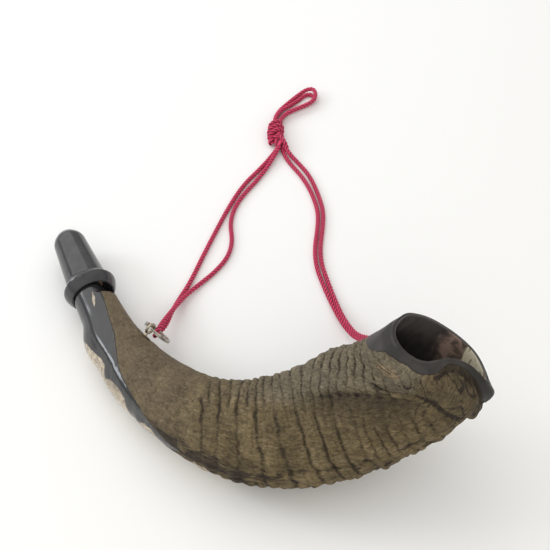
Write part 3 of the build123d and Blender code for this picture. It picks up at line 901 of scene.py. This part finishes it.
def carve_neck(skin):
    """The neck's worn scallops and its ridge."""
    s = skin.s
    neck = 1 - smooth(100, 130, s)
    skin.relief += neck * 0.25 * skin.noise(16, 8)
    skin.relief += neck * smooth(20, 34, s) * hump(skin.off(-4), 32) * (0.5 + 0.7 * skin.noise(9, 9))
    skin.relief += 0.75 * plateau(s, 22, 45, 112, 132) * hump(skin.theta - stops(NECK_RIDGE, s), 11)


def bend_form(skin):
    """Bulges and hollows of the plain form, and the cut down to the collar."""
    s = skin.s
    skin.relief += 2.8 * plateau(s, 18, 34, 36, 54) * hump(skin.off(-8), 45)
    skin.relief -= stops(KEEL_FLAT, s) * hump(skin.off(-14), 42)
    skin.relief += 1.0 * plateau(s, 35, 60, 95, 125) * hump(skin.off(180), 60)
    skin.relief -= 3.8 * hump(s - 249, 18) * hump(skin.off(192), 42)
    skin.relief -= 5.2 * smooth(80, 150, np.abs(skin.turn)) * (1 - smooth(6.4, 7.2, s))


def zones_of(skin):
    """Masks for the shader, three to a colour: smoked neck, worn cream and polished lip, each 0.5 at its
    edge; then tan patch, furrow with painted shade, and crown with painted sheen; then grooves with painted
    shade, ribs for painted crest highlights, and sooty grime with painted shade."""
    s, theta = skin.s, skin.theta
    neck = (stops(SMOKED_EDGE, s) - np.abs(skin.turn)) * MM_PER_DEGREE
    cream = np.minimum(stops(SCALLOPS, s) - skin.turn, skin.turn + 70) * MM_PER_DEGREE
    streak = 1.2 - np.abs(theta - stops(NECK_STREAK, s)) * 0.23 - 0.18 * np.abs(s - 12)
    cream = np.maximum(cream, np.where(s < 30, streak, -9))
    tan = 1 - np.sqrt(((s - 273 + (theta - 130) * 0.08) / 9.5) ** 2 + (skin.off(130) / 21) ** 2)
    # The upward crown, which the horn's colour lightens and greys as painted sheen.
    crown = smooth(88, 108, theta) * (1 - smooth(215, 250, theta)) * smooth(120, 190, s)
    edges = 0.5 + np.stack([neck, cream, skin.past_edge], -1) / 8
    return {
        "zone_a": np.clip(edges, 0, 1),
        "zone_b": np.stack([np.clip(tan, 0, 1), np.clip(skin.valley * 1.1, 0, 1), crown], -1),
        "zone_c": np.clip(np.stack([skin.gap, 0.5 * skin.ribs, skin.soot_and_shade], -1), 0, 1),
    }


def seat_flats(points):
    """Flattens the horn to the seats of the screw eyes' plates."""
    for seat, out in SEATS.values():
        out = unit(np.array(out))
        rel = points - np.array(seat)
        height = rel @ out
        radial = np.linalg.norm(rel - height[..., None] * out, axis=-1)
        near = (1 - smooth(PLATE_R + 0.4, PLATE_R + 2.4, radial)) * (np.abs(height) < 6)
        points = points - (near * (height + 0.02))[..., None] * out
    return points


def outer_rings(length, centre, wide, deep):
    """Rings of points of the horn's outside from the collar to the lip, and the skin that shaped them."""
    s = np.r_[np.linspace(0, 100, 80)[:-1], np.linspace(100, length[-1], 300)]
    plain = ovals(centre(s), wide(s), deep(s))
    theta = np.broadcast_to(ANGLES, plain.shape[:2])
    row_s = np.broadcast_to(s[:, None], plain.shape[:2])
    plain = plain + lip_shift(row_s, theta)
    normal = unit(np.cross(np.gradient(plain, axis=0), np.roll(plain, -1, 1) - np.roll(plain, 1, 1)))
    if normal[5, 0] @ (plain[5, 0] - centre(s[5:6])[0]) < 0:
        normal = -normal
    girth = np.interp(s, length, [(width + depth) / 4 for _, width, depth, *_ in SECTIONS])[:, None]
    skin = Skin(row_s, theta, np.stack([row_s, girth * COS[:, 0], girth * SIN[:, 0]], -1))
    for shape in (grow_ribs, carve_furrow, wrinkle, overhang_last_band, shape_lip, roughen_keel,
                  scrape_tan_patch, carve_neck, bend_form):
        shape(skin)
    points = seat_flats(plain + normal * skin.relief[..., None])
    points[..., 2] = np.maximum(points[..., 2], FLOOR_GAP)
    return points, skin


def neck_rings(keel, up):
    """Rings of the horn's end inside the mouthpiece: round spigot, oval tenon, shoulder."""
    half_width, half_height, shift, reach = TENON
    spigot_r, spigot_end = SPIGOT
    rings = []
    for beyond, across, upwards, aside in (
        (spigot_end, spigot_r - 0.6, spigot_r - 0.6, 0), (spigot_end - 0.6, spigot_r, spigot_r, 0),
        (reach + 0.1, spigot_r, spigot_r, 0), (reach, half_width - 0.5, half_height - 0.5, shift),
        (reach - 0.5, half_width, half_height, shift), (0.7, half_width, half_height, shift),
        (0.4, half_width + 0.4, half_height + 0.3, shift * 0.9), (0.3, 12.3, 12.0, 0.2),
    ):
        middle = COLLAR + LIPS * beyond + keel * aside
        rings.append(middle + across * keel * COS + upwards * up * SIN)
    cut = smooth(80, 150, np.abs(wrap(ANGLES)))[:, None]
    rings[-1] = rings[-1] * (1 - cut) + (rings[-2] - LIPS * 0.1) * cut
    return np.array(rings)


def lip_rings(rim, ahead):
    """Rings over the rounded lip, and the hollow's first ring."""
    wall = ring_curve(LIP_WALL, ANGLES)[:, None]
    inner_rim = rim + unit(rim.mean(0) - rim) * wall
    turn = np.linspace(0, math.pi, 9)[1:-1, None, None]
    rings = (rim + inner_rim) / 2 + (rim - inner_rim) / 2 * np.cos(turn)
    return rings + ahead * (wall / 2) * 0.95 * np.sin(turn), inner_rim


def hollow_rings(last, centre, wide_in, deep_in, inner_rim):
    """Rings down the hollow from the lip to the collar, and each ring's distance along the horn."""
    s = np.r_[np.linspace(last, 230, 40), np.linspace(230, 0, 50)[1:]]
    rings = ovals(centre(s), wide_in(s), deep_in(s))
    shape = rings.shape[:2]
    rings = rings + lip_shift(np.broadcast_to(s[:, None], shape), np.broadcast_to(ANGLES, shape))
    return rings + smooth(262, last, s)[:, None, None] * (inner_rim - rings[0]), s


def hollow_values(depth):
    """Masks of the hollow, a cream patch that is partly painted light and a brown patch by the lip, and the
    grain's place.
    """
    turn = np.broadcast_to(ANGLES, depth.shape)
    pale_and_lit = 1 - 0.5 * np.sqrt((wrap(turn - 328) / 30) ** 2 + ((depth - 5) / 15) ** 2)
    brown = 1 - 0.5 * np.sqrt((wrap(turn - 306) / 36) ** 2 + ((depth - 8) / 24) ** 2)
    none = np.zeros((*depth.shape, 3))
    return {
        "zone_a": np.clip(np.stack([pale_and_lit, brown, none[..., 0]], -1), 0, 1), "zone_b": none, "zone_c": none,
        "grain": np.stack([300 + depth, 25 * np.cos(np.radians(turn)), 25 * np.sin(np.radians(turn))], -1),
    }


def paint(attributes, outside, inside, neck_count, lip_count):
    """Stores the masks and the grain; the neck's and the lip's rings repeat the outside's first and last."""
    for name, values in outside.items():
        ends = np.repeat(values[:1], neck_count, 0), np.repeat(values[-1:], lip_count, 0)
        full = np.concatenate([ends[0], values, ends[1], inside[name]]).astype(np.float32).reshape(-1, 3)
        if name == "grain":
            attributes.new(name, "FLOAT_VECTOR", "POINT").data.foreach_set("vector", full.ravel())
        else:
            rgba = np.column_stack([full, np.ones(len(full), np.float32)])
            attributes.new(name, "FLOAT_COLOR", "POINT").data.foreach_set("color", rgba.ravel())


def horn():
    """The horn's closed skin: end in the mouthpiece, outside, lip, hollow and air way, back to the end."""
    length, (centre, wide, deep, wide_in, deep_in) = horn_frames()
    outer, skin = outer_rings(length, centre, wide, deep)
    keel, up = unit(wide(length[:1]))[0], unit(deep(length[:1]))[0]
    neck = neck_rings(keel, up)
    before, last = centre(skin.s[-2:, 0])
    lip, inner_rim = lip_rings(outer[-1], unit(last - before))
    hollow, hollow_s = hollow_rings(length[-1], centre, wide_in, deep_in, inner_rim)
    bore = [COLLAR + LIPS * beyond + AIR_WAY_R * (keel * COS + up * SIN) for beyond in (3.0, SPIGOT[1])]

    points = np.concatenate([neck, outer, lip, hollow, bore])
    faces = grid_faces(len(points), COLUMNS, closed=True)
    obj = piece("horn_body", points.reshape(-1, 3) * MM, faces, horn_outside(), horn_inside())
    depth = np.r_[length[-1] - hollow_s, 290, 300][:, None] * np.ones(COLUMNS)
    outside = {**zones_of(skin), "grain": skin.spot}
    paint(obj.data.attributes, outside, hollow_values(depth), len(neck), len(lip))
    index = np.zeros((len(points), COLUMNS), np.int32)
    index[len(neck) + len(outer) + len(lip) - 3:] = 1       # the hollow's material starts inside the lip
    obj.data.polygons.foreach_set("material_index", index.ravel())
    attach(obj, "instrument")
    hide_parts("horn")


def dress(nodes, material):
    for name in nodes:
        NODES[name].data.materials.clear()
        NODES[name].data.materials.append(material)


stage()
camera()
yarn = crimson()
cords(yarn)
horn()
dress(["mouthpiece"], black_polish())
dress(["neck_cork"], cork())
brass = metal("brass", (0.50, 0.45, 0.35), (0.33, 0.28, 0.20), (0.09, 0.065, 0.04), 0.30)
dress(["left_screw_eye", "right_screw_eye"], brass)
bronze = metal("bronze", (0.16, 0.12, 0.07), (0.09, 0.065, 0.04), (0.03, 0.02, 0.015), 0.4)
dress(["left_eye_plate", "right_eye_plate"], bronze)
nickel = metal("nickel", (0.62, 0.60, 0.54), (0.42, 0.40, 0.34), (0.16, 0.14, 0.10), 0.24)
split_ring("left_ring_coil", "left_split_ring", "left_ring", *SEATS["left"], 30, nickel)
split_ring("right_ring_coil", "right_split_ring", "right_ring", *SEATS["right"], 16, nickel)
